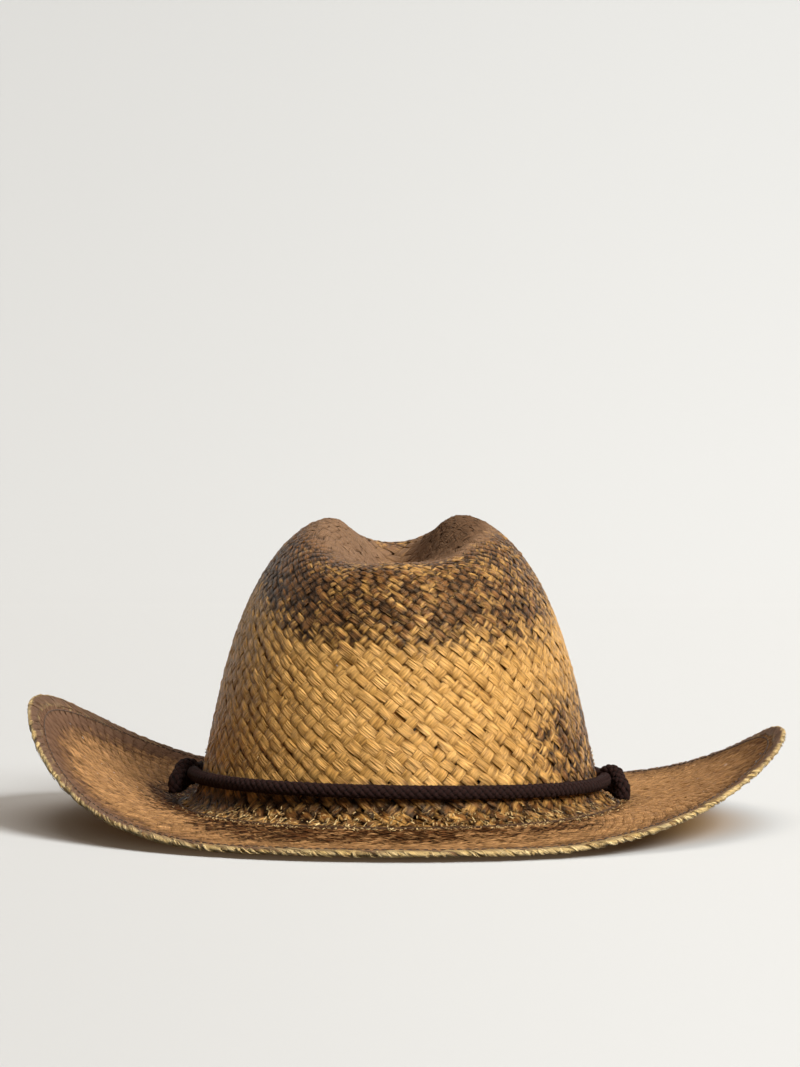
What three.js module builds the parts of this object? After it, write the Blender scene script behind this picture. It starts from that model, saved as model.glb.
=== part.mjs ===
// A woven straw cowboy hat with a tie-on braided cord.
// Millimetres, +Z up. The front of the hat faces -Y.
// The origin is the centre of the brim's outline, on the plane that the brim's front and back rest on.
import * as THREE from 'three';
import { ParametricGeometry } from 'three/addons/geometries/ParametricGeometry.js';
import { mergeVertices } from 'three/addons/utils/BufferGeometryUtils.js';

const { cos, sin, abs, min, max, pow, exp, PI } = Math;

// Crown: an oval that tapers as it rises, rounds over at the top and is pressed in by one long crease.
const crownHalfWidth = 91.5;
const crownHalfLength = 101;
const crownHeight = 133.3; // before the crease is pressed in
const crownOffsetX = -3.6; // the brim is a little wider on the +X side
const crownWall = 1.8;
const sideTaper = 0.285;
const endTaper = 0.16;
const sideRoundness = 4;
const rearRoundness = 4.6;
const frontRoundness = 5.7; // higher bends over more sharply at the top
const topFullness = 0.33; // lower is fuller where the top rounds over
const topLean = 0.055; // the top falls towards the front by this slope

// The crease opens out into a wide, shallow hollow at the front.
const rearCreaseDepth = 35;
const frontCreaseDepth = 22;
const rearCreaseHalfWidth = 17.5;
const frontCreaseHalfWidth = 31;
const rearCreasePower = 2;
const frontCreasePower = 3; // higher has a flatter floor
const creaseCentreX = -2;
const creaseHalfLength = 61;
const creaseCentreY = -4;
const creaseOpensY = 13; // the crease widens from here forwards
const creaseOpenY = -45; // and is fully open here

// Brim: flat at the front and back, curled up at both sides, higher on the -X side.
const brimHalfWidth = 170;
const brimHalfLength = 185;
const brimRootZ = 4.5; // mid-surface height where the brim meets the crown
const brimTopSkin = 1.0; // from the mid-surface up to the top face
const brimUnderSkin = 0.6; // from the mid-surface down to the underside
const edgeZ = 1.7; // mid-surface height of the edge where it rests
const curlHeightLeft = 51.5;
const curlHeightRight = 38;
const curlRise = 1.9; // power of the rise from root to edge
const curlRearward = 0.1; // the -X side's curl peaks behind the middle by this share of the half-length
const restBand = 0.6; // curl lower than this is pressed flat, so the front and back rest flat

// Hem: the brim's weave turned under at the edge, round a wire, and sewn down.
const plateSetback = 3.5; // the flat weave stops this far inside the edge
const wireInset = 2.35;
const wireRadius = 0.55;
const hemFlange = 9; // how far the turned-under weave reaches back from the edge
const hemFlangeTop = -0.9; // below the brim's mid-surface, just clear of its underside
const hemFlangeThickness = 0.8;
const hemStitchInset = 7;

// Sweatband, inside the foot of the crown.
const gap = 0.35;
const sweatbandHeight = 28;
const sweatbandThickness = 1.2;
const sweatbandFootZ = 2.6;
const bandStitchZ = 4.2;
const threadRadius = 0.35;

// Hat cord: a front and a rear length, half-knotted at both sides, with short tails.
const cordRadius = 3;
const cordZ = 17.7; // mean height of the cord's centre line
const cordRise = 1.5; // the cord lies higher at the front and at -X
const knotRadius = 3.3; // from the knot's axis to each cord's centre line
const knotHalfLength = 5.5;
const knotAngle = 0.16; // angle left for the knot at each end of a cord's run round the crown

// Labels on the sweatband, both blank.
const labelThickness = 0.6;
const careLabelFootZ = 6;
const careLabelWidth = 24;
const careLabelHeight = 29;
const sizeLabelWidth = 12;
const sizeLabelHeight = 9;
const sizeLabelTurn = 0.3; // round from the middle of the back
const sizeLabelZ = 20;
const sizeLabelBow = 0.15; // extra room, because the tab is flat and the band is curved

const ringSegments = 72;
const crownSegments = 60;

const mix = (a, b, share) => a + (b - a) * share;
const smooth = (low, high, value) => THREE.MathUtils.smoothstep(value, low, high);

const straw = new THREE.MeshStandardMaterial({ color: 0xb98a45, roughness: 0.62, metalness: 0 });
const strawDark = new THREE.MeshStandardMaterial({ color: 0x9a6f38, roughness: 0.62, metalness: 0 });
const paleStraw = new THREE.MeshStandardMaterial({ color: 0xd8b56a, roughness: 0.58, metalness: 0 });
const cordBrown = new THREE.MeshStandardMaterial({ color: 0x38201c, roughness: 0.85, metalness: 0 });
const bandCloth = new THREE.MeshStandardMaterial({ color: 0x2b211c, roughness: 0.9, metalness: 0 });
const threadTan = new THREE.MeshStandardMaterial({ color: 0xa57c45, roughness: 0.8, metalness: 0 });
const steel = new THREE.MeshStandardMaterial({ color: 0x8d8f92, roughness: 0.4, metalness: 1 });
const labelWhite = new THREE.MeshStandardMaterial({ color: 0xe9e5db, roughness: 0.8, metalness: 0 });

// Height of the crown's foot, just clear of the brim's top face.
const crownFootZ = brimRootZ + brimTopSkin + gap;

// How far the lengthwise crease presses the crown down at a place in plan.
function creaseAt(x, y) {
  const open = smooth(-creaseOpensY, -creaseOpenY, -y);
  const depth = mix(rearCreaseDepth, frontCreaseDepth, open);
  const halfWidth = mix(rearCreaseHalfWidth, frontCreaseHalfWidth, open);
  const power = mix(rearCreasePower, frontCreasePower, open);
  const across = exp(-pow(abs(x - creaseCentreX) / halfWidth, power));
  const along = exp(-pow((y - creaseCentreY) / creaseHalfLength, 4));
  return depth * across * along;
}

// Outer face of the crown. angle runs round from +X.
// share runs from 0 at the foot to 1 at the middle of the top.
function crownOuter(angle, share) {
  const endwise = pow(sin(angle), 2);
  const taper = mix(sideTaper, endTaper, endwise);
  const front = smooth(-0.2, 0.2, -sin(angle));
  const roundness = mix(sideRoundness, mix(rearRoundness, frontRoundness, front), endwise);
  const reach = (1 - taper * share) * pow(max(0, 1 - pow(abs(share), roundness)), topFullness);
  const x = crownHalfWidth * reach * cos(angle);
  const y = crownHalfLength * reach * sin(angle);
  const pressed = smooth(0.6, 0.95, share);
  const z = crownFootZ + crownHeight * share + pressed * (topLean * y - creaseAt(x, y));
  return new THREE.Vector3(x + crownOffsetX, y, z);
}

// A point set in from the crown's outer face, square to it, by a depth.
// The very middle of the top is set straight down.
function crownInset(angle, share, depth) {
  const here = crownOuter(angle, share);
  const step = 1e-4;
  if (share > 1 - step) return here.setZ(here.z - depth);
  const round = crownOuter(angle + step, share).sub(crownOuter(angle - step, share));
  const rise = crownOuter(angle, share + step / 2).sub(crownOuter(angle, share - step / 2));
  return here.addScaledVector(round.cross(rise).normalize(), -depth);
}

// Height of the side curl at the brim's edge: one falling power for each quarter of the outline.
function curlAt(angle) {
  const left = (1 - cos(angle)) / 2;
  const rear = smooth(-0.35, 0.35, sin(angle));
  const fall = mix(mix(1.35, 2.2, rear), mix(1.85, 1.4, rear), left);
  const height = mix(curlHeightRight, curlHeightLeft, left);
  const fromPeak = min(1, abs(sin(angle) - curlRearward * left));
  return max(0, height * pow(cos((PI / 2) * fromPeak), fall) - restBand);
}

// Mid-surface of the brim. share runs from 0 at the crown to 1 at the edge.
function brimMid(angle, share) {
  const rootX = crownOffsetX + (crownHalfWidth - crownWall) * cos(angle);
  const rootY = (crownHalfLength - crownWall) * sin(angle);
  const x = mix(rootX, brimHalfWidth * cos(angle), share);
  const y = mix(rootY, brimHalfLength * sin(angle), share);
  const z = mix(brimRootZ, edgeZ, smooth(0, 1, share)) + curlAt(angle) * pow(share, curlRise);
  return new THREE.Vector3(x, y, z);
}

// Unit vectors at the brim: along the edge, up off the surface, and outward within the surface.
function brimAxes(angle, share) {
  const step = 0.002;
  const inner = max(share - step, 0);
  const along = brimMid(angle + step, share).sub(brimMid(angle - step, share)).normalize();
  const across = brimMid(angle, inner + step).sub(brimMid(angle, inner));
  const up = across.cross(along).normalize();
  return { along, up, out: along.clone().cross(up).normalize() };
}

// A point near the brim's edge: out is measured from the edge within the surface, and up is off it.
function edgePoint(angle, out, up) {
  const axes = brimAxes(angle, 1);
  return brimMid(angle, 1).addScaledVector(axes.out, out).addScaledVector(axes.up, up);
}

// A point on the brim lifted off its mid-surface.
function brimLifted(angle, share, lift) {
  return brimMid(angle, share).addScaledVector(brimAxes(angle, share).up, lift);
}

// Makes one clean closed body: shared vertices joined, empty triangles dropped, faces outward.
function closedBody(geometry) {
  geometry.deleteAttribute('uv');
  geometry.deleteAttribute('normal');
  const merged = mergeVertices(geometry, 1e-3);
  const corners = [...Array(merged.index.count / 3).keys()]
    .map((i) => [0, 1, 2].map((k) => merged.index.getX(3 * i + k)));
  const kept = corners.filter(([a, b, c]) => a !== b && b !== c && c !== a);
  const place = (i) => new THREE.Vector3().fromBufferAttribute(merged.attributes.position, i);
  const volume = kept.reduce((sum, [a, b, c]) => sum + place(a).dot(place(b).cross(place(c))), 0);
  merged.setIndex(kept.flatMap(([a, b, c]) => (volume > 0 ? [a, b, c] : [a, c, b])));
  merged.computeVertexNormals();
  return merged;
}

// A ring with a closed section all the way round. section(angle) gives the section's points in order.
function ringOfSections(section, segments) {
  const sections = [...Array(segments).keys()].map((i) => section((2 * PI * i) / segments));
  const count = sections[0].length;
  const pick = (u, v, target) => (
    target.copy(sections[Math.round(u * segments) % segments][Math.round(v * count) % count]));
  return closedBody(new ParametricGeometry(pick, segments, count));
}

function named(name, geometry, material) {
  const mesh = new THREE.Mesh(geometry, material);
  mesh.name = name;
  return mesh;
}

// Rows up the crown, closer together where the top rounds over.
const rowsUp = (count) => [...Array(count + 1).keys()].map((i) => 1 - pow(1 - i / count, 2.6));

// The crown is a cup: up its outer face, back down its inner face, with a level foot.
function makeCrown() {
  const inner = (angle, share) => {
    const point = crownInset(angle, share, crownWall);
    return share === 0 ? point.setZ(crownFootZ) : point;
  };
  const section = (angle) => [
    ...rowsUp(17).map((share) => crownOuter(angle, share)),
    ...rowsUp(11).reverse().map((share) => inner(angle, share)),
  ];
  return named('crown', ringOfSections(section, crownSegments), straw);
}

function makeBrim() {
  const rows = 7;
  const lastShare = 1 - plateSetback / (brimHalfLength - crownHalfLength);
  const shares = [...Array(rows).keys()].map((i) => (lastShare * i) / (rows - 1));
  const section = (angle) => [
    ...shares.map((share) => brimLifted(angle, share, brimTopSkin)),
    ...shares.toReversed().map((share) => brimLifted(angle, share, -brimUnderSkin)),
  ];
  return named('brim', ringOfSections(section, ringSegments), strawDark);
}

// The turned edge is a hook in section: over the wire, round it, and back under the brim as a flat flange.
// Its points are measured outward from the edge and up off the brim.
function makeHem() {
  const flangeFoot = hemFlangeTop - hemFlangeThickness;
  const outline = [
    [-hemFlange, flangeFoot], [-1.5, flangeFoot], [-0.4, -1.2], [0, -0.2], [-0.3, 0.8], [-1.2, 1.3],
    [-2.7, 1.2], [-2.7, 0.8], [-1.75, 0.6], [-1.45, -0.05], [-1.8, -0.7], [-2.5, hemFlangeTop],
    [-hemFlange, hemFlangeTop],
  ];
  const section = (angle) => outline.map(([out, up]) => edgePoint(angle, out, up));
  return named('brim_edge_hem', ringOfSections(section, ringSegments), paleStraw);
}

function makeWire() {
  const sides = 5;
  const turns = [...Array(sides).keys()].map((i) => (2 * PI * i) / sides);
  const section = (angle) => turns.map((turn) => (
    edgePoint(angle, -wireInset + wireRadius * cos(turn), -0.05 + wireRadius * sin(turn))));
  return named('brim_wire', ringOfSections(section, ringSegments), steel);
}

// A thread that runs round the hat: a thin ring.
// centreAt(angle) gives its centre and two directions square to its run.
function makeThread(name, centreAt, segments) {
  const sides = 4;
  const turns = [...Array(sides).keys()].map((i) => (2 * PI * i) / sides);
  const section = (angle) => {
    const { centre, out, up } = centreAt(angle);
    return turns.map((turn) => centre.clone()
      .addScaledVector(out, threadRadius * cos(turn))
      .addScaledVector(up, threadRadius * sin(turn)));
  };
  return named(name, ringOfSections(section, segments), threadTan);
}

// The thread that holds the hem down, on the brim's top face.
function makeHemStitching() {
  const share = 1 - hemStitchInset / (brimHalfLength - crownHalfLength);
  const lift = brimTopSkin + gap + threadRadius;
  const centreAt = (angle) => ({ centre: brimLifted(angle, share, lift), ...brimAxes(angle, share) });
  return makeThread('brim_hem_stitching', centreAt, ringSegments);
}

// Sweatband face: set in from the crown's outer face by a depth, at a height.
function bandPoint(angle, z, depth) {
  const share = max(0, (z - crownFootZ) / crownHeight);
  return crownInset(angle, share, depth).setZ(z);
}

const bandOuterDepth = crownWall + gap;
const bandInnerDepth = bandOuterDepth + sweatbandThickness;

function makeSweatband() {
  const rows = 3;
  const rise = sweatbandHeight / (rows - 1);
  const heights = [...Array(rows).keys()].map((i) => sweatbandFootZ + rise * i);
  const section = (angle) => [
    ...heights.map((z) => bandPoint(angle, z, bandOuterDepth)),
    ...heights.toReversed().map((z) => bandPoint(angle, z, bandInnerDepth)),
  ];
  return named('sweatband', ringOfSections(section, crownSegments), bandCloth);
}

// The thread that sews the sweatband in, on its inner face near the foot.
function makeSweatbandStitching() {
  const up = new THREE.Vector3(0, 0, 1);
  const centreAt = (angle) => ({
    centre: bandPoint(angle, bandStitchZ, bandInnerDepth + gap + threadRadius),
    out: new THREE.Vector3(cos(angle), sin(angle), 0),
    up,
  });
  return makeThread('sweatband_stitching', centreAt, crownSegments);
}

// A blank label that stands on its sewn foot against the back of the sweatband and folds in.
function makeCareLabel() {
  const foot = bandPoint(PI / 2, careLabelFootZ, bandInnerDepth);
  const head = bandPoint(PI / 2, careLabelFootZ + careLabelHeight, bandInnerDepth);
  const rearRadius = pow(crownHalfWidth, 2) / crownHalfLength;
  const bow = pow(careLabelWidth / 2, 2) / (2 * rearRadius); // the flat label clears the curved band
  const y = (foot.y + head.y) / 2 - bow - labelThickness / 2 - 2 * gap;
  const tape = new THREE.BoxGeometry(careLabelWidth, labelThickness, careLabelHeight);
  const label = named('care_label', tape, labelWhite);
  label.rotation.x = Math.atan2(foot.y - head.y, careLabelHeight);
  label.position.set(crownOffsetX, y, careLabelFootZ + careLabelHeight / 2);
  return label;
}

// A small blank size tab, flat on the sweatband beside the care label.
function makeSizeLabel() {
  const angle = PI / 2 + sizeLabelTurn;
  const depth = bandInnerDepth + gap + labelThickness / 2 + sizeLabelBow;
  const bandAt = (turn, lift) => bandPoint(angle + turn, sizeLabelZ + lift, depth);
  const along = bandAt(0.02, 0).sub(bandAt(-0.02, 0)).normalize();
  const rise = bandAt(0, 2).sub(bandAt(0, -2)).normalize();
  const out = along.clone().cross(rise).normalize();
  const turned = new THREE.Matrix4().makeBasis(out, along, out.clone().cross(along));
  const tab = new THREE.BoxGeometry(labelThickness, sizeLabelWidth, sizeLabelHeight);
  tab.applyMatrix4(turned.setPosition(bandAt(0, 0)));
  return named('size_label', tab, labelWhite);
}

// Centre line of the cord where it lies against the crown.
function cordOnCrown(angle) {
  const front = max(0, -sin(angle));
  const z = cordZ + cordRise * (front * front - cos(angle));
  const share = (z - crownFootZ) / crownHeight;
  return crownInset(angle, share, -(cordRadius + gap)).setZ(z);
}

// One length of cord: round half of the crown, through the knot at each side, and down as a tail.
// facing is -1 for the front length, which passes under in each knot and ends close to the crown.
// facing is +1 for the rear length, which passes over and ends outside.
function cordPath(facing) {
  const knotEnd = (side) => {
    const start = cordOnCrown(side > 0 ? 0 : PI);
    const at = (out, along, up) => new THREE.Vector3(start.x + side * out, facing * along, start.z + up);
    const half = knotHalfLength;
    const through = [-1, -0.5, 0, 0.5, 1].map((share) => {
      const turn = PI * (1 - (share + 1) / 2);
      return at(knotRadius * (1 + cos(turn)), -share * half, facing * knotRadius * sin(turn));
    });
    const outerTail = [at(8.4, -9, -3.2), at(8.3, -9.6, -5.9), at(8.2, -9.6, -8)];
    const innerTail = [at(7.4, -9, -3.2), at(6.4, -9.8, -5.6), at(4.6, -9.2, -7.4)];
    return [...through, ...(facing > 0 ? outerTail : innerTail)];
  };
  const runPoints = 15;
  const runAngle = (i) => facing * mix(knotAngle, PI - knotAngle, i / (runPoints - 1));
  const run = [...Array(runPoints).keys()].map((i) => cordOnCrown(runAngle(i)));
  return new THREE.CatmullRomCurve3([...knotEnd(1).toReversed(), ...run, ...knotEnd(-1)]);
}

function makeCord(name, facing) {
  const sides = 8;
  const section = new THREE.Shape([...Array(sides).keys()].map((i) => (
    new THREE.Vector2(cordRadius * cos((2 * PI * i) / sides), cordRadius * sin((2 * PI * i) / sides)))));
  const tube = new THREE.ExtrudeGeometry(section, { steps: 84, extrudePath: cordPath(facing) });
  return named(name, closedBody(tube), cordBrown);
}

const hat = new THREE.Group();
hat.add(
  makeCrown(),
  makeBrim(),
  makeHem(),
  makeWire(),
  makeHemStitching(),
  makeSweatband(),
  makeSweatbandStitching(),
  makeSizeLabel(),
  makeCareLabel(),
  makeCord('hat_cord_front', -1),
  makeCord('hat_cord_rear', 1),
);

export default hat;
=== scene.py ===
import math

import bpy
import numpy as np
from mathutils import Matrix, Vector


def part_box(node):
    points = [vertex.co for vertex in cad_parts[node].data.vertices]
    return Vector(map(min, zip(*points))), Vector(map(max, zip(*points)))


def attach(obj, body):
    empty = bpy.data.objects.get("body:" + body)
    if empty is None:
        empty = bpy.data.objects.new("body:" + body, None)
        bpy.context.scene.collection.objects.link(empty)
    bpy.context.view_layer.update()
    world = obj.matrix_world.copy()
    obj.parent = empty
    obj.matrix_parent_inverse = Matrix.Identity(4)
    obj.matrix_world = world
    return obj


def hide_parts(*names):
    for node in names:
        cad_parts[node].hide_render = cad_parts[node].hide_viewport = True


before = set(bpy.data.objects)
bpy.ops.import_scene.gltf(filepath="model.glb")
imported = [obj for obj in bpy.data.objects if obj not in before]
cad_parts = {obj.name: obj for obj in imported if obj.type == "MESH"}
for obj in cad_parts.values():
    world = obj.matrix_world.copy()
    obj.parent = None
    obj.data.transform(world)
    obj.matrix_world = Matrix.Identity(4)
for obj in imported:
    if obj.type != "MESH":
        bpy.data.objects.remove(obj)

MM = 0.001
TAU = 2 * math.pi
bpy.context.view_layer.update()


def box_mm(node):
    """Lowest and highest corner of a CAD node, in millimetres."""
    low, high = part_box(node)
    return np.array(low) / MM, np.array(high) / MM


# --------------------------------------------------------------------------------------------------
# Shapes of the crown and brim, the same forms as the CAD's, sized from the frame.

crown_low, crown_high = box_mm("crown")
hem_low, hem_high = box_mm("brim_edge_hem")
CROWN_X = (crown_low[0] + crown_high[0]) / 2
CROWN_HALF_WIDTH = (crown_high[0] - crown_low[0]) / 2
CROWN_HALF_LENGTH = (crown_high[1] - crown_low[1]) / 2
CROWN_FOOT = crown_low[2]
CROWN_RISE = 133.3        # height of the crown before its crease is pressed in
CROWN_WALL = 1.8
SIDE_TAPER, END_TAPER = 0.285, 0.16
SIDE_ROUNDNESS, REAR_ROUNDNESS, FRONT_ROUNDNESS = 4.0, 4.6, 5.7
TOP_FULLNESS = 0.33
TOP_LEAN = 0.055
REAR_CREASE_DEPTH, FRONT_CREASE_DEPTH = 35.0, 22.0
REAR_CREASE_HALF_WIDTH, FRONT_CREASE_HALF_WIDTH = 17.5, 31.0
REAR_CREASE_POWER, FRONT_CREASE_POWER = 2.0, 3.0
CREASE_HALF_LENGTH = 61.0
CREASE_X, CREASE_Y = -2.0, -4.0
CREASE_OPENS_Y, CREASE_OPEN_Y = 13.0, -45.0
BRIM_HALF_WIDTH = 170.0
BRIM_HALF_LENGTH = (hem_high[1] - hem_low[1]) / 2
BRIM_ROOT = CROWN_FOOT - 1.35
EDGE_HEIGHT = 1.7
CURL_LEFT, CURL_RIGHT = 51.5, 38.0
CURL_RISE = 1.9
CURL_REARWARD = 0.1
REST_BAND = 0.6
SIDE_FLARE, END_FLARE, FLARE_HEIGHT = 7.5, 13.5, 2.7
FOOT_LAYER = 0.9              # height of the crown's foot above the middle of the brim
CORD_RADIUS = 3.0
CORD_Z = 17.7
CORD_RISE = 1.5
GAP = 0.35


def mix(a, b, share):
    return a + (b - a) * share


def smooth(low, high, value):
    t = np.clip((value - low) / (high - low), 0, 1)
    return t * t * (3 - 2 * t)


def unit(vectors):
    return vectors / np.maximum(np.linalg.norm(vectors, axis=-1, keepdims=True), 1e-12)


def travelled(points):
    """Distance along a row of points, from 0 at the first."""
    return np.concatenate([[0], np.cumsum(np.linalg.norm(np.diff(points, axis=0), axis=-1))])


def stacked(x, y, z):
    return np.stack(np.broadcast_arrays(x, y, z), axis=-1).astype(float)


def crease_at(x, y):
    """How far the lengthwise crease presses the crown down at a place in plan."""
    open_share = smooth(-CREASE_OPENS_Y, -CREASE_OPEN_Y, -y)
    depth = mix(REAR_CREASE_DEPTH, FRONT_CREASE_DEPTH, open_share)
    half_width = mix(REAR_CREASE_HALF_WIDTH, FRONT_CREASE_HALF_WIDTH, open_share)
    power = mix(REAR_CREASE_POWER, FRONT_CREASE_POWER, open_share)
    across = np.exp(-(np.abs(x - CREASE_X) / half_width) ** power)
    return depth * across * np.exp(-((y - CREASE_Y) / CREASE_HALF_LENGTH) ** 4)


def crown_outer(turn, share):
    """Outer face of the crown: turn runs round from +X, share from 0 at the foot to 1 at the top's middle."""
    endwise = np.sin(turn) ** 2
    taper = mix(SIDE_TAPER, END_TAPER, endwise)
    end_roundness = mix(REAR_ROUNDNESS, FRONT_ROUNDNESS, smooth(-0.2, 0.2, -np.sin(turn)))
    roundness = mix(SIDE_ROUNDNESS, end_roundness, endwise)
    reach = (1 - taper * share) * np.maximum(0, 1 - np.abs(share) ** roundness) ** TOP_FULLNESS
    x = CROWN_HALF_WIDTH * reach * np.cos(turn)
    y = CROWN_HALF_LENGTH * reach * np.sin(turn)
    pressed = smooth(0.6, 0.95, share)
    z = CROWN_FOOT + CROWN_RISE * share + pressed * (TOP_LEAN * y - crease_at(x, y))
    return stacked(x + CROWN_X, y, z)


def curl_at(turn):
    """Height of the brim's side curl at its edge."""
    left = (1 - np.cos(turn)) / 2
    rear = smooth(-0.35, 0.35, np.sin(turn))
    fall = mix(mix(1.35, 2.2, rear), mix(1.85, 1.4, rear), left)
    height = mix(CURL_RIGHT, CURL_LEFT, left)
    from_peak = np.minimum(1, np.abs(np.sin(turn) - CURL_REARWARD * left))
    return np.maximum(0, height * np.cos(math.pi / 2 * from_peak) ** fall - REST_BAND)


def brim_mid(turn, share):
    """Middle of the brim's thickness: share runs from 0 at the crown to 1 at the edge."""
    root_x = CROWN_X + (CROWN_HALF_WIDTH - CROWN_WALL) * np.cos(turn)
    root_y = (CROWN_HALF_LENGTH - CROWN_WALL) * np.sin(turn)
    x = mix(root_x, BRIM_HALF_WIDTH * np.cos(turn), share)
    y = mix(root_y, BRIM_HALF_LENGTH * np.sin(turn), share)
    z = mix(BRIM_ROOT, EDGE_HEIGHT, smooth(0, 1, share)) + curl_at(turn) * np.maximum(share, 0) ** CURL_RISE
    return stacked(x, y, z)


def normals_of(surface, turn, share, step=1e-4):
    """Unit normals on the side that faces up or out."""
    low = np.clip(share - step, 0, 1 - 2 * step)
    round_way = surface(turn + step, share) - surface(turn - step, share)
    rise_way = surface(turn, low + 2 * step) - surface(turn, low)
    return unit(np.cross(round_way, rise_way))


def foot_reach(turn):
    """How far the crown's foot sweeps out over the brim."""
    return mix(SIDE_FLARE, END_FLARE, smooth(0.3, 0.9, np.abs(np.sin(turn))))


def brim_outside(turn, reach):
    """Middle of the brim at a distance outside the crown."""
    return brim_mid(turn, (reach + CROWN_WALL) / (BRIM_HALF_LENGTH - CROWN_HALF_LENGTH))


def crown_flared(turn, share):
    """The crown's outer face, swept out onto the brim at its foot."""
    reach = foot_reach(turn)
    sink = CROWN_FOOT - FOOT_LAYER - brim_outside(turn, reach)[..., 2]
    swept = np.exp(-np.maximum(share, 0) * CROWN_RISE / FLARE_HEIGHT)
    sweep = stacked(reach * np.cos(turn), reach * np.sin(turn), -sink)
    return crown_outer(turn, share) + swept[..., None] * sweep


def crown_lifted(turn, share, lift):
    return crown_outer(turn, share) + np.asarray(lift)[..., None] * normals_of(crown_outer, turn, share)


def brim_normals(turn, share):
    return -normals_of(brim_mid, turn, share)


class Rise:
    """Turns an even measure of travel up a surface into the surface's own share, so that diagonal strands
    keep the same slant however narrow the surface gets."""

    def __init__(self, surface, first, last):
        self.share = np.linspace(first, last, 900)
        turns = np.linspace(0, TAU, 48, endpoint=False)
        points = surface(turns[None, :], self.share[:, None])
        steps = np.linalg.norm(np.diff(points, axis=0), axis=-1).mean(1)
        arms = np.linalg.norm(np.roll(points, -1, 1) - points, axis=-1).sum(1) / TAU
        self.travel = np.concatenate([[0], np.cumsum(steps / (arms[1:] + arms[:-1]) * 2)])
        self.total = self.travel[-1]

    def share_at(self, travel):
        return np.interp(travel, self.travel, self.share)


# --------------------------------------------------------------------------------------------------
# Meshes.

class Mesh:
    """Collects closed strands, then becomes one Blender object."""

    def __init__(self):
        self.points, self.quads, self.caps = [], [], []
        self.fibre, self.tint = [], []
        self.count = 0

    def add_strand(self, rings, fibre, tint):
        """rings: points in mm, by place along the strand and corner of its section.
        fibre and tint give each point's place on the strand and its stain, relief and dust."""
        length, corners, _ = rings.shape
        index = self.count + np.arange(length * corners).reshape(length, corners)
        following = np.roll(index, -1, 1)
        quads = np.stack([index[:-1], following[:-1], following[1:], index[1:]], -1).reshape(-1, 4)
        self.points.append(rings.reshape(-1, 3))
        self.fibre.append(fibre.reshape(-1, 3))
        self.tint.append(tint.reshape(-1, 3))
        self.quads.append(quads)
        self.caps.append(index[0][::-1].tolist())
        self.caps.append(index[-1].tolist())
        self.count += length * corners

    def triangles(self):
        return 2 * sum(len(q) for q in self.quads) + sum(len(c) - 2 for c in self.caps)

    def build(self, name, material):
        points = np.concatenate(self.points) * MM
        quads = np.concatenate(self.quads)
        mesh = bpy.data.meshes.new(name)
        loops = np.concatenate([quads.ravel(), np.concatenate([np.array(c) for c in self.caps])])
        sizes = np.concatenate([np.full(len(quads), 4), np.array([len(c) for c in self.caps])])
        mesh.vertices.add(len(points))
        mesh.vertices.foreach_set("co", points.astype(np.float32).ravel())
        mesh.loops.add(len(loops))
        mesh.loops.foreach_set("vertex_index", loops.astype(np.int32))
        mesh.polygons.add(len(sizes))
        starts = np.concatenate([[0], np.cumsum(sizes)[:-1]])
        mesh.polygons.foreach_set("loop_start", starts.astype(np.int32))
        mesh.polygons.foreach_set("use_smooth", np.ones(len(sizes), bool))
        mesh.update(calc_edges=True)
        for name_of, values in (("fibre", self.fibre), ("tint", self.tint)):
            attribute = mesh.attributes.new(name_of, "FLOAT_VECTOR", "POINT")
            attribute.data.foreach_set("vector", np.concatenate(values).astype(np.float32).ravel())
        mesh.materials.append(material)
        mesh.validate()
        piece = bpy.data.objects.new(name, mesh)
        bpy.context.scene.collection.objects.link(piece)
        return piece


def finish_piece(piece, body, nodes=()):
    """Puts a piece on its CAD body and hides the CAD nodes that it stands in for."""
    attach(piece, body)
    if nodes:
        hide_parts(*nodes)
    return piece


# Corners of a flat strand's section: place across from -1 to 1, and height as a share of its arch.
RIBBON_ACROSS = np.array([-1, -0.84, -0.52, -0.18, 0.18, 0.52, 0.84, 1, 0.5, -0.5])
RIBBON_ARCH = np.array([0, 0.5, 0.85, 1, 1, 0.85, 0.5, 0, -0.25, -0.25])
TOP_CORNERS = range(1, 7)
UNDER_CORNERS = slice(8, 10)


def ribbon_across(widths):
    """Place of each corner across a flat strand, by place along it."""
    return RIBBON_ACROSS[None, :] * widths[:, None] / 2


def ribbon_rings(centres, normals, widths, heights):
    """Closed rings of a flat strand that follows the centres, lying square to the normals."""
    along = unit(np.gradient(centres, axis=0))
    side = unit(np.cross(along, normals))
    up = unit(np.cross(side, along))
    sideways = ribbon_across(widths)[..., None] * side[:, None, :]
    return centres[:, None, :] + sideways + heights[..., None] * up[:, None, :]


def uneven_heights(rng, count, arch, period, size):
    """Height of each corner above a flat strand's middle line, by place along it."""
    heights = RIBBON_ARCH[None, :] * arch * np.ones((count, 1))
    for corner in TOP_CORNERS:
        heights[:, corner] += wander(rng, count, period, size)
    return heights


def wander(rng, length, period, size):
    """A smooth random walk about zero: one value for each sample along a strand."""
    knots = rng.normal(0, size, max(2, int(length / period) + 3))
    place = np.linspace(0, len(knots) - 1.001, length)
    low = place.astype(int)
    blend = smooth(0, 1, place - low)
    return mix(knots[low], knots[low + 1], blend)


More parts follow.
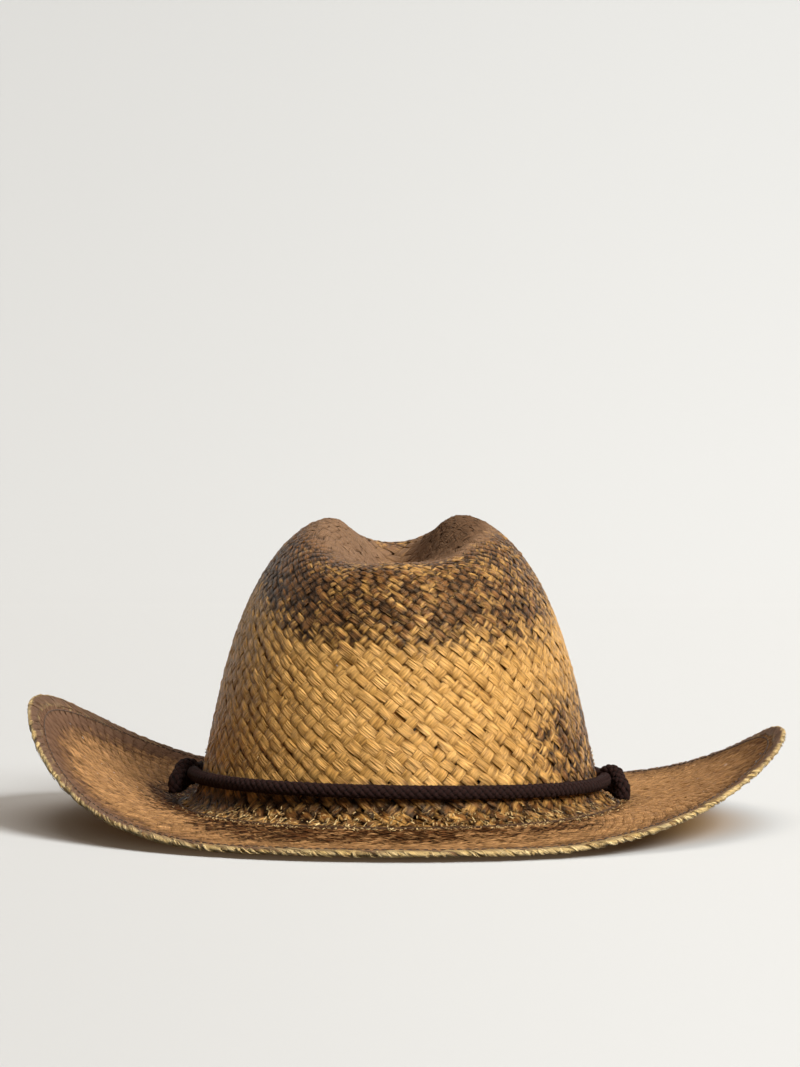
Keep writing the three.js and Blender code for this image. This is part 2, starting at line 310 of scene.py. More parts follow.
def curve_through(points, count):
    """Evenly spaced points on a smooth curve through the given ones."""
    points = np.array(points, float)
    padded = np.concatenate([[2 * points[0] - points[1]], points, [2 * points[-1] - points[-2]]])
    fine = []
    for a, b, c, d in zip(padded, padded[1:], padded[2:], padded[3:]):
        t = np.linspace(0, 1, 24, endpoint=False)[:, None]
        square, cube = 2 * a - 5 * b + 4 * c - d, 3 * b - a - 3 * c + d
        fine.append(0.5 * (2 * b + (c - a) * t + square * t ** 2 + cube * t ** 3))
    fine = np.concatenate(fine + [points[-1:]])
    travel = travelled(fine)
    even = np.linspace(0, travel[-1], count)
    return np.stack([np.interp(even, travel, fine[:, k]) for k in range(fine.shape[1])], -1)


def carried_ups(centres, along):
    """Directions square to a line, carried along it without twisting round it."""
    ups = np.empty_like(centres)
    ups[0] = unit(np.cross(along[0], np.cross((0.0, 0.3, 1.0), along[0])))
    for i in range(1, len(centres)):
        ups[i] = unit(ups[i - 1] - along[i] * np.dot(ups[i - 1], along[i]))
    return ups


def tube_rings(centres, radii, corners, squash=1.0, ups=None):
    """Closed rings round a centre line. ups, if given, point to the flattened side."""
    along = unit(np.gradient(centres, axis=0))
    if ups is None:
        ups = carried_ups(centres, along)
    side = unit(np.cross(along, ups))
    up = unit(np.cross(side, along))
    turns = -np.linspace(0, TAU, corners, endpoint=False)
    wide = np.cos(turns)[None, :, None] * side[:, None, :]
    high = squash * np.sin(turns)[None, :, None] * up[:, None, :]
    return centres[:, None, :] + np.asarray(radii)[..., None, None] * (wide + high)


def add_tube(mesh, centres, radii, corners, squash=1.0, ups=None, tone=0.0, tint=(0, 1, 0)):
    radii = np.broadcast_to(np.asarray(radii, float), len(centres))
    rings = tube_rings(centres, radii, corners, squash, ups)
    along = travelled(centres)
    round_way = radii[:, None] * np.linspace(0, TAU, corners)[None, :]
    mesh.add_strand(rings, stacked(along[:, None], round_way, tone),
                    np.broadcast_to(np.array(tint, float), rings.shape))


# --------------------------------------------------------------------------------------------------
# Weave. Two families of flat strands run diagonally up each surface, over and under each other in turn.

class Family:
    """One direction of strands. lean: travel round for each unit of rise. fill: width as a share of the room.
    over, under: how far it lifts and dips. arch: how far its middle stands above its edges."""

    def __init__(self, lean, fill, over, under, arch, sharpness):
        self.lean, self.fill, self.over, self.under = lean, fill, over, under
        self.arch, self.sharpness = arch, sharpness


# Falling strands stay nearly straight and stand out as long ridges. Rising strands bend over and under them.
FALLING = Family(-1.28, 1.0, 0.38, 0.06, 0.42, 0.8)
RISING = Family(0.92, 1.0, 0.46, 0.42, 0.27, 0.7)
CROWN_STRANDS = 70
BRIM_STRANDS = 124
HEM_STRANDS = 150
CROSSING_PHASES = np.array([0, 0.22, 0.4, 0.6, 0.78])
MOST_TRIANGLES = 190000       # in one piece
START_TURN = 0.35             # turns the whole pattern, so that no strand starts at +X
PULLED_IN = 1.2               # how far a strand that ends dips under its neighbours
# Unevenness of the strands, as normal deviations: sideways in pitches, the rest in millimetres or shares.
SIDEWAYS_DRIFT = 0.11
WIDTH_BY_STRAND, WIDTH_ALONG = 0.08, 0.09
HEIGHT_ALONG, CORNER_HEIGHT = 0.07, 0.13


def crossing_wave(phase, sharpness):
    """+1 where a strand passes over, -1 where it passes under. A lower sharpness swaps more quickly."""
    swing = np.cos(phase)
    return np.sign(swing) * np.abs(swing) ** sharpness


def crown_stain(points, share):
    """How dark the sprayed tint is on the crown, with painted shade added on the left and under the cord, and
    how dusty it looks there: above 1 the dust is darkened as painted shade.
    """
    round_x = points[..., 0] - CROWN_X
    radius = np.hypot(round_x, points[..., 1]) + 1e-6
    frontness = smooth(0.1, 1, (0.2 * round_x - points[..., 1]) / radius)
    rightness = round_x / radius
    height = points[..., 2]
    # A band round the top, which comes lower at the front and is darkest on the left, the side away from the
    # key light, where the extra depth is painted shade.
    boundary = 108 - 22 * frontness - 2 * smooth(-0.6, 1, rightness)
    deepest_with_left_shade = 1.0 + 0.35 * smooth(0, 0.8, -rightness)
    top = deepest_with_left_shade * smooth(boundary - 17, boundary + 10, height)
    # The foot, darkened partly by the tint and partly as painted shadow under the cord, the lower part of the
    # right side, and lightly the rest of the lower part and, as painted shade, the left.
    foot = 0.95 - 0.9 * smooth(CROWN_FOOT + 7, CROWN_FOOT + 22, height)
    right = smooth(0.35, 0.95, rightness) * smooth(80, 28, height)
    # The light darkening towards the left is painted shade on the side away from the key light.
    low = 0.2 * smooth(62, 24, height) + 0.12 * smooth(0.3, 1, -rightness)
    # Dust lies in the hollow of the crease. Above 1 the dust is darkened as painted shade on its right wall,
    # which faces away from the key light.
    dust_and_shade = smooth(0.9, 0.965, share) * (1 + smooth(CREASE_X - 6, CREASE_X + 22, points[..., 0]))
    return np.maximum(np.maximum(top, foot), np.maximum(0.95 * right, low)), dust_and_shade


def brim_stain(points, share):
    """Dark at the root, partly tint and partly painted shade where the brim meets the crown, golden further
    out, and mauve brown with dust towards the edge.
    """
    rear = smooth(0.15, 0.9, points[..., 1] / BRIM_HALF_LENGTH)
    front = smooth(0.6, 0.95, -points[..., 1] / np.hypot(points[..., 0], points[..., 1]))
    rightness = points[..., 0] / BRIM_HALF_WIDTH
    right = smooth(-0.2, 0.4, rightness) * (1 - front)
    # The root's darkening, tint and painted shade together, spreads furthest out at the front, and is lighter
    # there to the right of the middle.
    root = 1 - smooth(mix(0.12, 0.45, front) - 0.12 * right, mix(0.46, 0.82, front) - 0.12 * right, share)
    root = root * (1 - 0.2 * front - 0.35 * front * smooth(-0.05, 0.3, rightness))
    # The edge's tint starts furthest in at the rear, and is weak at the front.
    edge = smooth(mix(0.66, 0.42, rear), mix(0.92, 0.88, rear), share) * (1 - 0.7 * front) * (1 - 0.4 * right)
    # The extra tint over the left half is painted shade that offsets the stronger light on the left of the
    # brim.
    return np.maximum(root, 0.95 * edge) + mix(0.2, 0.0, right), edge


def strand_samples(last_row):
    """Phases along a strand up to a crossing row, closer together where it dips."""
    phases = (np.arange(last_row)[:, None] + CROSSING_PHASES[None, :]).ravel()
    return np.append(phases, last_row) * math.pi


def make_weave(name, strands, surface, normals_at, rise, stain_at, middle, seed, material, nodes, levels=(),
               scale=1.0, tightness=1.0):
    """Weaves a surface. levels are the crossing rows at which every second strand ends and the others
    double in width. scale changes the height of all the relief. tightness below 1 leaves fewer gaps."""
    rng = np.random.default_rng(seed)
    pitch = TAU / strands
    row_step = pitch / (RISING.lean - FALLING.lean)
    rows = int(rise.total / row_step)
    meshes = [Mesh()]
    for family in (FALLING, RISING):
        for i in range(strands):
            depth = next((k for k in range(len(levels)) if (i >> k) & 1), len(levels))
            last = rows if depth == len(levels) else levels[depth] + 1
            phase = strand_samples(last)
            row = phase / math.pi
            travel = row * row_step
            level = sum(smooth(stop - 6, stop + 2, row) for stop in levels) + 0 * row
            passed = sum((row >= stop - 1e-9).astype(int) for stop in levels) + 0 * row
            share = rise.share_at(travel)
            drift = wander(rng, len(row), 16, SIDEWAYS_DRIFT * pitch * tightness) * 2.0 ** level
            turn = pitch * i + family.lean * travel + drift + START_TURN
            step = 1e-3
            neighbours = surface(turn + step, share) - surface(turn - step, share)
            spacing = np.linalg.norm(neighbours, axis=-1) / (2 * step)
            room = spacing * pitch * 2.0 ** level * (1 + 0.05 * level) / math.hypot(1, family.lean)
            unevenness = rng.normal(0, WIDTH_BY_STRAND) + wander(rng, len(row), 9, WIDTH_ALONG)
            widths = room * family.fill * (1 + 0.1 * (1 - tightness) + tightness * unevenness)
            swing = crossing_wave(phase / 2.0 ** passed, family.sharpness) * (1 if family is FALLING else -1)
            lift = np.where(swing > 0, family.over, family.under) * swing
            lift = lift + wander(rng, len(row), 6, HEIGHT_ALONG)
            heights = uneven_heights(rng, len(row), family.arch, 6, CORNER_HEIGHT)
            if depth < len(levels):
                ending = smooth(len(row) - 7, len(row) - 1, np.arange(len(row)))
                lift = lift - PULLED_IN * ending
                widths = widths * (1 - 0.6 * ending)
            normals = normals_at(turn, share)
            base = surface(turn, share)
            centres = base + (lift * scale + middle)[:, None] * normals
            rings = ribbon_rings(centres, normals, widths, heights * scale)
            along = travelled(centres)
            across = ribbon_across(widths)
            fibre = stacked(along[:, None], across, rng.uniform(0, 50))
            stain, dust_and_shade = stain_at(base, share)
            relief = lift[:, None] + heights
            relief[:, UNDER_CORNERS] = 0.6 - lift[:, None]
            tint = stacked(stain[:, None], relief, dust_and_shade[:, None])
            if meshes[-1].triangles() + rings.shape[0] * rings.shape[1] * 2 > MOST_TRIANGLES:
                meshes.append(Mesh())
            meshes[-1].add_strand(rings, fibre, tint)
    for k, mesh in enumerate(meshes):
        finish_piece(mesh.build(f"{name}_{k + 1}", material), "hat", nodes)


# --------------------------------------------------------------------------------------------------
# Materials.

def new_material(name):
    material = bpy.data.materials.new(name)
    material.use_nodes = True
    tree = material.node_tree
    return material, tree, tree.nodes["Principled BSDF"]


def node(tree, kind, **properties):
    made = tree.nodes.new(kind)
    for name, value in properties.items():
        setattr(made, name, value)
    return made


def link(tree, source, target):
    tree.links.new(source, target)


def set_inputs(target, **values):
    """Sets a node's inputs by name, with _ for a space."""
    for name, value in values.items():
        target.inputs[name.replace("_", " ")].default_value = value


def fibre_of(tree):
    """Place on the strand: along and across it in millimetres, and a number of the strand's own."""
    return node(tree, "ShaderNodeAttribute", attribute_name="fibre").outputs["Vector"]


def tint_of(tree):
    """Stain, relief and dust at each point. Low relief, and dust above 1, are painted as shade by the
    materials.
    """
    parts = node(tree, "ShaderNodeSeparateXYZ")
    link(tree, node(tree, "ShaderNodeAttribute", attribute_name="tint").outputs["Vector"], parts.inputs[0])
    return parts.outputs


def ranged(tree, value, low, high, to_low=0.0, to_high=1.0, soft=False):
    """A value from low to high, brought to a range from to_low to to_high."""
    made = node(tree, "ShaderNodeMapRange", interpolation_type="SMOOTHSTEP" if soft else "LINEAR")
    set_inputs(made, From_Min=low, From_Max=high, To_Min=to_low, To_Max=to_high)
    link(tree, value, made.inputs["Value"])
    return made.outputs["Result"]


def add_bump(tree, shader, height, strength, distance):
    made = node(tree, "ShaderNodeBump")
    set_inputs(made, Strength=strength, Distance=distance)
    link(tree, height, made.inputs["Height"])
    link(tree, made.outputs["Normal"], shader.inputs["Normal"])


def ramp(tree, factor, stops):
    """A colour ramp: stops are (place, (r, g, b)) pairs."""
    made = node(tree, "ShaderNodeValToRGB")
    elements = made.color_ramp.elements
    while len(elements) > len(stops):
        elements.remove(elements[-1])
    while len(elements) < len(stops):
        elements.new(1.0)
    for element, (place, colour) in zip(elements, stops):
        element.position = place
        element.color = (*colour, 1)
    link(tree, factor, made.inputs["Fac"])
    return made.outputs["Color"]


def mix_colour(tree, factor, a, b, mode="MIX"):
    made = node(tree, "ShaderNodeMix", data_type="RGBA", blend_type=mode)
    for value, socket in ((factor, made.inputs[0]), (a, made.inputs[6]), (b, made.inputs[7])):
        if hasattr(value, "links"):
            link(tree, value, socket)
        else:
            socket.default_value = value if isinstance(value, (int, float)) else (*value, 1)
    return made.outputs[2]


def maths(tree, operation, a, b=0.0, clamp=False):
    made = node(tree, "ShaderNodeMath", operation=operation, use_clamp=clamp)
    for value, socket in ((a, made.inputs[0]), (b, made.inputs[1])):
        if hasattr(value, "links"):
            link(tree, value, socket)
        else:
            socket.default_value = value
    return made.outputs[0]


def noise(tree, vector, scale, detail=2.0, rough=0.5):
    made = node(tree, "ShaderNodeTexNoise")
    set_inputs(made, Scale=scale, Detail=detail, Roughness=rough)
    link(tree, vector, made.inputs["Vector"])
    return made.outputs["Fac"]


def stretched(tree, vector, along, across, third):
    """The fibre coordinates, scaled apart so that a texture runs lengthwise on the strand."""
    made = node(tree, "ShaderNodeVectorMath", operation="MULTIPLY")
    made.inputs[1].default_value = (along, across, third)
    link(tree, vector, made.inputs[0])
    return made.outputs[0]


def straw_material(name, pale, gold, burnt, dust, specular=0.32, roughness=0.31):
    """Flat straw: lengthwise fibres, tone that changes along and between strands, and the tint over it, with
    painted highlights along the fibre ridges and painted shade in the gaps between strands.
    """
    material, tree, shader = new_material(name)
    fibre = fibre_of(tree)
    stain, relief, dust_and_shade = tint_of(tree)
    position = node(tree, "ShaderNodeNewGeometry").outputs["Position"]
    streak = noise(tree, stretched(tree, fibre, 0.16, 2.6, 1.0), 1.0, 3.0, 0.62)
    fold = noise(tree, stretched(tree, fibre, 0.1, 1.3, 1.0), 1.0, 1.0)
    patch = noise(tree, stretched(tree, fibre, 0.09, 0.16, 1.0), 1.0, 1.0)
    base = ramp(tree, patch, [(0.32, gold), (0.68, pale)])
    # Fibre tone along the strands, made lighter as painted highlight on the ridges and darker as painted
    # shade in the grooves, where the same noise also raises the bump.
    groove_shade, plain, ridge_highlight = (0.4, 0.32, 0.24), (0.92, 0.9, 0.87), (1.42, 1.42, 1.36)
    shade = ramp(tree, streak, [(0.28, groove_shade), (0.47, plain), (0.72, ridge_highlight)])
    streaked = mix_colour(tree, 1.0, base, shade, "MULTIPLY")
    cloud = noise(tree, position, 110.0, 3.0, 0.6)
    speckle = noise(tree, stretched(tree, fibre, 0.14, 0.5, 1.0), 1.0, 2.0)
    uneven = maths(tree, "MULTIPLY", maths(tree, "SUBTRACT", cloud, 0.5), 2.5)
    uneven = maths(tree, "ADD", uneven, maths(tree, "MULTIPLY", maths(tree, "SUBTRACT", speckle, 0.5), 3.2))
    held = maths(tree, "MULTIPLY", uneven, maths(tree, "MINIMUM", maths(tree, "MULTIPLY", stain, 2.0), 1.0))
    clean = maths(tree, "SUBTRACT", 1.0, maths(tree, "MULTIPLY", dust_and_shade, 0.8), clamp=True)
    amount = maths(tree, "ADD", stain, maths(tree, "MULTIPLY", held, clean), clamp=True)
    # In the tint, raised parts are lighter and recesses near-black: partly the tint rubbed thin on the raised
    # parts, partly painted highlight on them and painted shade in the recesses.
    char_and_shade = mix_colour(tree, ranged(tree, relief, 0.4, 0.95, soft=True), CHAR, burnt)
    scorched = mix_colour(tree, 1.0, streaked, char_and_shade, "MULTIPLY")
    powdered = mix_colour(tree, 0.4, dust, mix_colour(tree, 1.0, shade, dust, "MULTIPLY"))
    # Where the dust measure is above 1 the dust is darkened: painted shade on the wall of the crease that
    # faces away from the light.
    hollow_shade = maths(tree, "SUBTRACT", dust_and_shade, 1.0, clamp=True)
    shaded_dust = mix_colour(tree, 1.0, powdered, (0.5, 0.45, 0.42), "MULTIPLY")
    powdered = mix_colour(tree, hollow_shade, powdered, shaded_dust)
    tinted = mix_colour(tree, amount, streaked, mix_colour(tree, dust_and_shade, scorched, powdered))
    # Painted shade: the gaps between strands, where the relief is low, are darkened and reflect less, except
    # where dust fills them.
    out_of_pit = ranged(tree, relief, -0.3, 0.8, soft=True)
    unshaded = maths(tree, "MAXIMUM", out_of_pit, maths(tree, "MULTIPLY", dust_and_shade, 0.7), clamp=True)
    dark = mix_colour(tree, 1.0, tinted, (0.2, 0.135, 0.09), "MULTIPLY")
    link(tree, mix_colour(tree, unshaded, dark, tinted), shader.inputs["Base Color"])
    gloss = ranged(tree, streak, 0.0, 1.0, roughness - 0.1, roughness + 0.25)
    matt = maths(tree, "MULTIPLY", dust_and_shade, 0.35)
    link(tree, maths(tree, "ADD", gloss, matt, clamp=True), shader.inputs["Roughness"])
    ridges = maths(tree, "ADD", maths(tree, "MULTIPLY", streak, 0.6), fold)
    link(tree, maths(tree, "MULTIPLY", out_of_pit, specular), shader.inputs["Specular IOR Level"])
    set_inputs(shader, Specular_Tint=(1, 0.76, 0.5, 1))
    add_bump(tree, shader, ridges, 1.0, 0.0011)
    return material


def yarn_material(name, colour, light, twist=2.2, roughness=0.85, sheen=0.15):
    """Twisted yarn: slanting fibres along each thread, fuzzy and dull."""
    material, tree, shader = new_material(name)
    fibre = fibre_of(tree)
    wave = node(tree, "ShaderNodeTexWave", wave_type="BANDS", bands_direction="DIAGONAL")
    set_inputs(wave, Scale=twist, Distortion=1.5, Detail=2.0)
    link(tree, fibre, wave.inputs["Vector"])
    fuzz = noise(tree, fibre, 2.5, 4.0, 0.7)
    mottle = maths(tree, "MULTIPLY", maths(tree, "ADD", wave.outputs["Fac"], fuzz), 0.5)
    # The colour is multiplied by the painted shade that each piece carries in its relief.
    unshaded = tint_of(tree)[1]
    lit = mix_colour(tree, 1.0, ramp(tree, mottle, [(0.25, colour), (0.75, light)]), unshaded, "MULTIPLY")
    link(tree, lit, shader.inputs["Base Color"])
    set_inputs(shader, Roughness=roughness, Sheen_Weight=sheen, Specular_IOR_Level=0.25)
    add_bump(tree, shader, mottle, 0.7, 0.0002)
    return material


def cloth_material(name, colour, light, thread=1.6, roughness=0.9):
    """Plain-woven cloth: two crossing sets of threads in the piece's own along and across directions."""
    material, tree, shader = new_material(name)
    fibre = fibre_of(tree)
    threads = []
    for direction in ("X", "Y"):
        wave = node(tree, "ShaderNodeTexWave", wave_type="BANDS", bands_direction=direction)
        set_inputs(wave, Scale=thread, Distortion=0.4)
        link(tree, fibre, wave.inputs["Vector"])
        threads.append(wave.outputs["Fac"])
    weave = maths(tree, "MULTIPLY", *threads)
    soil = noise(tree, fibre, 0.12, 3.0, 0.6)
    tone = maths(tree, "ADD", maths(tree, "MULTIPLY", weave, 0.5), maths(tree, "MULTIPLY", soil, 0.6))
    link(tree, ramp(tree, tone, [(0.2, colour), (0.8, light)]), shader.inputs["Base Color"])
    set_inputs(shader, Roughness=roughness, Sheen_Weight=0.2)
    add_bump(tree, shader, weave, 0.6, 0.0002)
    return material


def wire_material():
    """Drawn steel, brushed along its length with a few dull spots."""
    material, tree, shader = new_material("wire_steel")
    fibre = fibre_of(tree)
    brushed = noise(tree, stretched(tree, fibre, 0.3, 6.0, 1.0), 1.0, 3.0)
    spots = noise(tree, fibre, 0.4, 3.0)
    steel = ramp(tree, spots, [(0.35, (0.3, 0.22, 0.16)), (0.5, (0.55, 0.55, 0.56))])
    link(tree, steel, shader.inputs["Base Color"])
    set_inputs(shader, Metallic=1.0)
    link(tree, maths(tree, "ADD", maths(tree, "MULTIPLY", brushed, 0.3), 0.2), shader.inputs["Roughness"])
    return material


# --------------------------------------------------------------------------------------------------
# The pieces.

# CHAR, the near-black that the tint takes in recesses, is partly painted shade.
CHAR = (0.026, 0.015, 0.01)
BURNT = (0.3, 0.225, 0.2)
BRIM_BURNT = (0.29, 0.215, 0.18)
DUST = (0.25, 0.143, 0.08)
BRIM_DUST = (0.212, 0.122, 0.077)
STRAW = straw_material("straw", (0.87, 0.5, 0.16), (0.66, 0.355, 0.095), BURNT, DUST,
                       specular=0.6, roughness=0.29)
# The brim's straw is the crown's made darker to offset the stronger light on the upward-facing brim: painted
# shade.
SHADED_BRIM_STRAW = straw_material("shaded_brim_straw", (0.6, 0.335, 0.145), (0.43, 0.235, 0.098), BRIM_BURNT, BRIM_DUST,
                            specular=0.06, roughness=0.55)
EDGE_STRAW = straw_material("edge_straw", (0.95, 0.75, 0.4), (0.72, 0.5, 0.2), BRIM_BURNT, BRIM_DUST)
CORD = yarn_material("cord_yarn", (0.0065, 0.0015, 0.0009), (0.03, 0.0075, 0.0048), sheen=0.0)
HEM_THREAD = yarn_material("hem_thread", (0.05, 0.028, 0.018), (0.13, 0.08, 0.05))
THREAD = yarn_material("sewing_thread", (0.3, 0.18, 0.08), (0.55, 0.36, 0.18))
BAND_CLOTH = cloth_material("sweatband_cloth", (0.012, 0.009, 0.007), (0.045, 0.033, 0.026))
LABEL_TAPE = cloth_material("label_tape", (0.6, 0.58, 0.52), (0.86, 0.84, 0.79), 2.4)
WIRE = wire_material()


def even_row(travel, strands):
    """The nearest even crossing row to a travel."""
    row_step = TAU / strands / (RISING.lean - FALLING.lean)
    return 2 * int(round(travel / row_step / 2))


def make_crown():
    rise = Rise(crown_flared, 0.0, 0.9995)
    first = even_row(np.interp(0.94, rise.share, rise.travel), CROWN_STRANDS)
    make_weave("crown_weave", CROWN_STRANDS, crown_flared, lambda t, s: normals_of(crown_flared, t, s), rise,
               crown_stain, -CROWN_WALL / 2, 11, STRAW, ("crown",), (first, first + 16), tightness=0.8)


def crown_top(x, y):
    """The crown's outer face near the middle of its top, by place in plan."""
    x_share, y_share = x / CROWN_HALF_WIDTH, y / CROWN_HALF_LENGTH
    turn = np.arctan2(y_share, x_share)
    endwise = np.sin(turn) ** 2
    reach = np.hypot(x_share, y_share) / (1 - mix(SIDE_TAPER, END_TAPER, endwise))
    share = (1 - reach ** (1 / TOP_FULLNESS)) ** (1 / mix(SIDE_ROUNDNESS, REAR_ROUNDNESS, endwise))
    return crown_outer(turn, share)


def make_crown_centre():
    """A plain-woven patch that closes the middle of the top, its ends tucked under the strands round it."""
    rng = np.random.default_rng(14)
    mesh = Mesh()
    pitch, reach, step, samples = 3.3, 16.0, 0.05, 49
    for lengthwise in (0, 1):
        for i in range(-4, 5):
            offset = i * pitch + rng.normal(0, 0.1)
            half = math.sqrt(reach ** 2 - offset ** 2)
            place = np.linspace(-half, half, samples)
            swing = crossing_wave(math.pi * (place / pitch + i + lengthwise), 0.75)
            x, y = (offset + 0 * place, place) if lengthwise else (place, offset + 0 * place)
            slope_x = crown_top(x + step, y) - crown_top(x - step, y)
            slope_y = crown_top(x, y + step) - crown_top(x, y - step)
            normals = unit(np.cross(slope_x, slope_y))
            base = crown_top(x, y)
            lift = 0.4 * swing + wander(rng, samples, 8, 0.06) - 1.2 * smooth(half - 4, half, np.abs(place))
            widths = pitch * (0.98 + wander(rng, samples, 9, 0.06))
            heights = uneven_heights(rng, samples, 0.36, 7, 0.09)
            rings = ribbon_rings(base + (lift - CROWN_WALL / 2)[:, None] * normals, normals, widths, heights)
            fibre = stacked((place + half)[:, None], ribbon_across(widths), rng.uniform(0, 50))
            stain, dust_and_shade = crown_stain(base, np.ones(samples))
            relief = lift[:, None] + heights + 0.1
            mesh.add_strand(rings, fibre, stacked(stain[:, None], relief, dust_and_shade[:, None]))
    finish_piece(mesh.build("crown_centre_patch", STRAW), "hat", ("crown",))


def make_brim():
    rise = Rise(brim_mid, 0.0, 1 - 3.0 / (BRIM_HALF_LENGTH - CROWN_HALF_LENGTH))
    make_weave("brim_weave", BRIM_STRANDS, brim_mid, brim_normals, rise,
               brim_stain, 0.0, 12, SHADED_BRIM_STRAW, ("brim",), scale=0.75, tightness=0.12)


def brim_past_foot(turn, share):
    """The brim's upper face outside the crown's foot. share is the distance out, against the crown's rise."""
    return brim_outside(turn, foot_reach(turn) + share * CROWN_RISE) + np.array((0, 0, 0.5))


def make_foot_ends():
    """Short pale broken ends of straw along the crown's foot, and a few that stand out above the cord."""
    rng = np.random.default_rng(13)
    mesh = Mesh()
    # Each place: turn, millimetres up or out from the foot, how flat the end lies, and its surface.
    places = [(rng.uniform(0, TAU), abs(rng.normal(0, 2.6)), 1.0, crown_flared) for _ in range(1500)]
    places += [(rng.uniform(0, TAU), abs(rng.normal(0, 3.2)), 1.0, brim_past_foot) for _ in range(1100)]
    # Few are left at the sides, and fewest on the left.
    places = [place for place in places if rng.random() > 0.9 * smooth(0.75, 0.97, -math.cos(place[0]))
              + 0.6 * smooth(0.5, 0.9, math.cos(place[0]))]
    places += [(side + rng.normal(0, 0.3), rng.uniform(16, 26), 0.5, crown_flared)
               for side in (0, math.pi) for _ in range(16)]
    for turn, height, flatness, surface in places:
        length = rng.uniform(0.5, 1.5)
        heading = rng.uniform(0, TAU)
        turns = turn + np.array([-0.5, 0, 0.5]) * length * math.cos(heading) / CROWN_HALF_WIDTH
        shares = np.maximum(height + np.array([-0.5, 0, 0.5]) * length * math.sin(heading), 0) / CROWN_RISE
        normals = normals_of(surface, turns, shares) * (1 if surface is crown_flared else -1)
        lift = np.array([-0.1, 0.25, rng.uniform(0.15, 0.4) / flatness])
        centres = curve_through(surface(turns, shares) + lift[:, None] * normals, 5)
        widths = rng.uniform(0.25, 0.75) * np.array([1, 1, 0.95, 0.8, 0.45])
        heights = RIBBON_ARCH[None, :] * 0.16 * np.ones((5, 1))
        rings = ribbon_rings(centres, np.repeat(normals[1:2], 5, 0), widths, heights)
        across = ribbon_across(widths)
        along = np.linspace(0, length, 5)
        stain = max(0, rng.normal(0.7, 0.6))
        fibre = stacked(along[:, None], across, rng.uniform(0, 50))
        mesh.add_strand(rings, fibre, stacked(stain, 1.0 + 0 * across, 0))
    # A soft cord of straw fills the bend behind the ends, dark from full tint and, through its low relief,
    # from painted shade in the bend.
    turns = np.linspace(0, TAU, 481)
    add_tube(mesh, crown_flared(turns, 0 * turns) - np.array((0, 0, 0.6)), 0.95, 10, tint=(1.6, 0.3, 0.6))
    finish_piece(mesh.build("crown_foot_ends", EDGE_STRAW), "hat")


def edge_point(turn, out, up):
    """A point near the brim's edge: out is measured from the edge within the surface, and up is off it."""
    step = 1e-3
    along = unit(brim_mid(turn + step, 1) - brim_mid(turn - step, 1))
    upward = brim_normals(turn, np.ones_like(turn))
    outward = np.cross(along, upward)
    return brim_mid(turn, 1) + np.asarray(out)[..., None] * outward + np.asarray(up)[..., None] * upward


def edge_arm(turn):
    """Length of edge for each unit of turn."""
    step = 1e-3
    return np.linalg.norm(brim_mid(turn + step, 1) - brim_mid(turn - step, 1), axis=-1) / (2 * step)


# Section of the folded edge, from the brim's top round the edge to its underside: (out, up) in millimetres.
HEM_FOLD = [(-8.0, 0.35), (-5, 0.5), (-2.6, 0.62), (-1.4, 0.58), (-0.75, 0.3), (-0.55, -0.3), (-0.9, -0.95),
            (-2.2, -1.3), (-5, -1.32), (-9, -1.3)]
HEM_SLANT = 1.7               # travel along the edge for each millimetre of the fold


def add_flakes(mesh, path, normal, count, rng):
    """Split ends of straw that stand a little off the folded edge."""
    for _ in range(count):
        turn, first = rng.uniform(0, TAU), rng.integers(8, 14)
        track, facing = path[first:first + 4], normal[first:first + 4]
        lift = 0.3 + np.array([-0.15, 0.08, 0.2, 0.35]) * rng.uniform(0.4, 1.3)
        turns = turn + HEM_SLANT * rng.uniform(0.2, 1.3) * np.arange(4) / edge_arm(turn)
        low = edge_point(turns, track[:, 0], track[:, 1])
        normals = unit(edge_point(turns, track[:, 0] + facing[:, 0], track[:, 1] + facing[:, 1]) - low)
        widths = rng.uniform(0.5, 1.6) * np.array([1, 1, 0.85, 0.4])
        heights = RIBBON_ARCH[None, :] * np.full((4, 1), 0.15)
        rings = ribbon_rings(low + lift[:, None] * normals, normals, widths, heights)
        across = ribbon_across(widths)
        stain = max(0, rng.normal(0, 0.45)) + smooth(0.3, 0.6, track[:, 1])
        mesh.add_strand(rings, stacked(np.arange(4)[:, None], across, rng.uniform(0, 50)),
                        stacked(stain[:, None], 1.0 + 0 * across, 0))


def add_hem_lining(mesh, path, normal):
    """A closed sheet just under the folds, so that no gap between them shows the inside. Its low relief
    paints shade into the gaps.
    """
    turns = np.linspace(0, TAU, 721)
    outer = path - 0.04 * normal
    section = np.concatenate([outer, (path - 0.17 * normal)[::-1]])
    rings = np.stack([edge_point(turns, np.full(721, out), np.full(721, up)) for out, up in section], 1)
    along = travelled(rings[:, 0])
    round_way = travelled(section)
    above = smooth(0.1, 0.58, section[:, 1])[None, :]
    front = smooth(0.3, 1, -np.sin(turns))[:, None]
    mesh.add_strand(rings[:, ::-1], stacked(round_way[None, ::-1], along[:, None], 7.0),
                    stacked(above[:, ::-1] * (1 - 0.5 * front) + 0.2, 0.3, above[:, ::-1]))


